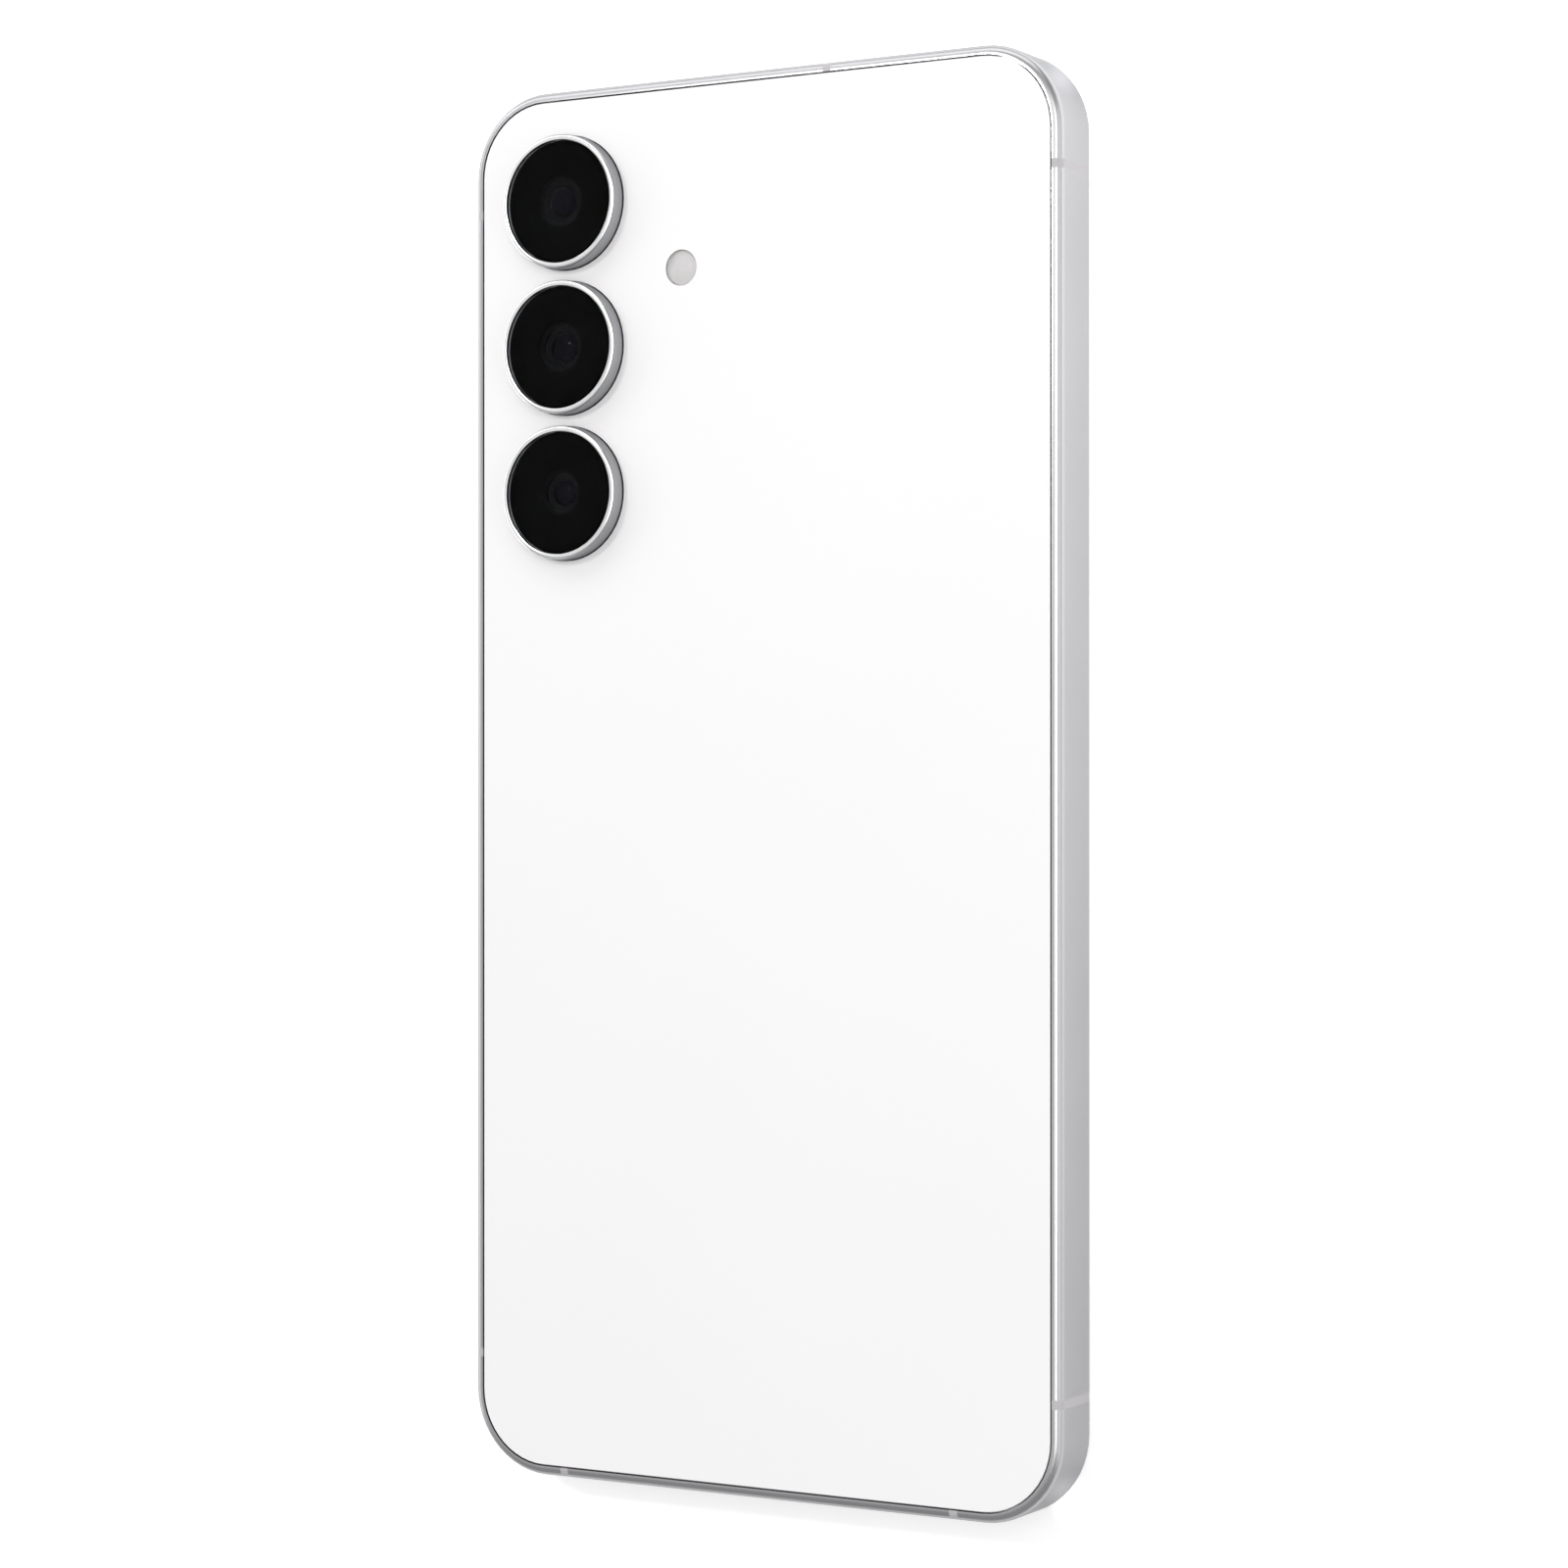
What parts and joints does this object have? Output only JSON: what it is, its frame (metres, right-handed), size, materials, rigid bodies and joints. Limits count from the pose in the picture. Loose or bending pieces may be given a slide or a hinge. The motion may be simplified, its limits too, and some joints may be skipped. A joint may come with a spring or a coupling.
{
  "type": "smartphone",
  "caption": "Slim touchscreen phone with glass panels in a metal frame, round camera rings and a flash on its rear, side keys, a card tray and a charging socket.",
  "frame": {"origin": "centre of the front glass's outer face, where the phone rests screen down", "axes": "+Z out of the rear panel, +Y to the top end, +X to the side without keys"},
  "size_m": [0.0769, 0.1614, 0.0093],
  "materials": {
    "satin_aluminium": "satin, anodised silver",
    "antenna_plastic": "satin",
    "rear_white_glass": "white coated glass, smooth satin",
    "ring_metal": "polished lip, satin wall",
    "window_glass": "dark, glossy",
    "front_black_glass": "glossy",
    "flash_plastic": "pearly, ribbed",
    "phosphor": "matte",
    "adhesive": "matte foam",
    "white_tape": "matte",
    "display_black": "gloss",
    "flex_polyimide": "satin amber film",
    "board_green": "solder mask",
    "tin_plate": "satin",
    "steel": "satin",
    "copper": "bare copper",
    "chip_black": "moulded epoxy",
    "cover_black": "moulded",
    "mesh_dark": "woven steel mesh, blackened",
    "graphite": "foil",
    "battery_foil": "satin wrap",
    "camera_black": "matte",
    "carrier_grey": "moulded",
    "gilt_can": "gold plated can",
    "cable_black": "fluoropolymer jacket",
    "tungsten": "sintered"
  },
  "bodies": {
    "housing": {"frame": "satin_aluminium", "antenna_breaks": "antenna_plastic", "rear_glass": "rear_white_glass", "rear_adhesive": "adhesive", "camera_rings": "ring_metal", "camera_windows": "window_glass", "flash_lens": "flash_plastic", "flash_led": "phosphor", "front_glass": "front_black_glass", "display_adhesive": "adhesive", "display_panel": "display_black", "display_flex": "flex_polyimide", "fingerprint_sensor": "chip_black", "front_camera": "camera_black", "earpiece": "cover_black", "earpiece_mesh": "mesh_dark", "vapour_chamber": "copper", "main_board": "board_green", "board_shields": "tin_plate", "processor": "chip_black", "mid_cover": "cover_black", "nfc_antenna": "flex_polyimide", "charging_coil": "copper", "coil_shield": "graphite", "battery": "battery_foil", "battery_adhesive": "white_tape", "battery_flex": "flex_polyimide", "wide_camera": "camera_black", "main_camera_housing": "camera_black", "tele_camera_housing": "camera_black", "camera_bracket": "steel", "sub_board": "board_green", "usb_shell": "tin_plate", "usb_tongue": "cover_black", "loudspeaker": "cover_black", "speaker_mesh": "mesh_dark", "bottom_microphone": "gilt_can", "top_microphone": "gilt_can", "interconnect_flex": "flex_polyimide", "coax_cables": "cable_black", "key_flex": "flex_polyimide", "key_bracket": "steel", "card_reader": "tin_plate", "lever_pin": "steel", "haptic_case": "tin_plate", "screws": "steel"},
    "side_key": {"side_key": "satin_aluminium"},
    "volume_rocker": {"volume_rocker": "satin_aluminium"},
    "sim_tray": {"sim_tray": "satin_aluminium", "tray_gasket": "adhesive"},
    "eject_rod": {"eject_rod": "steel"},
    "eject_lever": {"eject_lever": "steel"},
    "main_focus": {"main_focus_carrier": "carrier_grey"},
    "main_stabiliser": {"main_stabiliser_frame": "carrier_grey"},
    "main_lens": {"main_lens": "camera_black"},
    "tele_focus": {"tele_focus_carrier": "carrier_grey"},
    "tele_stabiliser": {"tele_stabiliser_frame": "carrier_grey"},
    "tele_lens": {"tele_lens": "camera_black"},
    "haptic_mass": {"haptic_mass": "tungsten"}
  },
  "joints": [
    {"name": "side_key_press", "type": "slide", "parent": "housing", "child": "side_key", "axis": [1, 0, 0], "range_m": [0, 0.00025], "stiffness_N_per_m": 6400},
    {"name": "volume_rocker_tilt", "type": "hinge", "parent": "housing", "child": "volume_rocker", "pos_m": [-0.0371, 0.034, 0.00375], "axis": [0, 0, 1], "range_deg": [-1.2, 1.2], "stiffness_Nm_per_rad": 0.6},
    {"name": "sim_tray_slide", "type": "slide", "parent": "housing", "child": "sim_tray", "axis": [0, -1, 0], "range_m": [0, 0.022]},
    {"name": "eject_rod_push", "type": "slide", "parent": "housing", "child": "eject_rod", "axis": [0, 1, 0], "range_m": [0, 0.0015]},
    {"name": "eject_lever_turn", "type": "hinge", "parent": "housing", "child": "eject_lever", "pos_m": [0.0165, -0.0596, 0.0039], "axis": [0, 0, 1], "range_deg": [0, 17.2]},
    {"name": "main_focus_move", "type": "slide", "parent": "housing", "child": "main_focus", "axis": [0, 0, 1], "range_m": [0, 0.00035], "stiffness_N_per_m": 300},
    {"name": "main_stabiliser_x", "type": "slide", "parent": "main_focus", "child": "main_stabiliser", "axis": [1, 0, 0], "range_m": [-0.00015, 0.00015], "stiffness_N_per_m": 300},
    {"name": "main_stabiliser_y", "type": "slide", "parent": "main_stabiliser", "child": "main_lens", "axis": [0, 1, 0], "range_m": [-0.00015, 0.00015], "stiffness_N_per_m": 300},
    {"name": "tele_focus_move", "type": "slide", "parent": "housing", "child": "tele_focus", "axis": [0, 0, 1], "range_m": [0, 0.00035], "stiffness_N_per_m": 300},
    {"name": "tele_stabiliser_x", "type": "slide", "parent": "tele_focus", "child": "tele_stabiliser", "axis": [1, 0, 0], "range_m": [-0.00015, 0.00015], "stiffness_N_per_m": 300},
    {"name": "tele_stabiliser_y", "type": "slide", "parent": "tele_stabiliser", "child": "tele_lens", "axis": [0, 1, 0], "range_m": [-0.00015, 0.00015], "stiffness_N_per_m": 300},
    {"name": "haptic_shake", "type": "slide", "parent": "housing", "child": "haptic_mass", "axis": [0, 1, 0], "range_m": [-0.00035, 0.00035], "stiffness_N_per_m": 1500}
  ],
  "couplings": [
    {"joint": "eject_lever_turn", "follows": "eject_rod_push", "rad_per_m": 200}
  ]
}
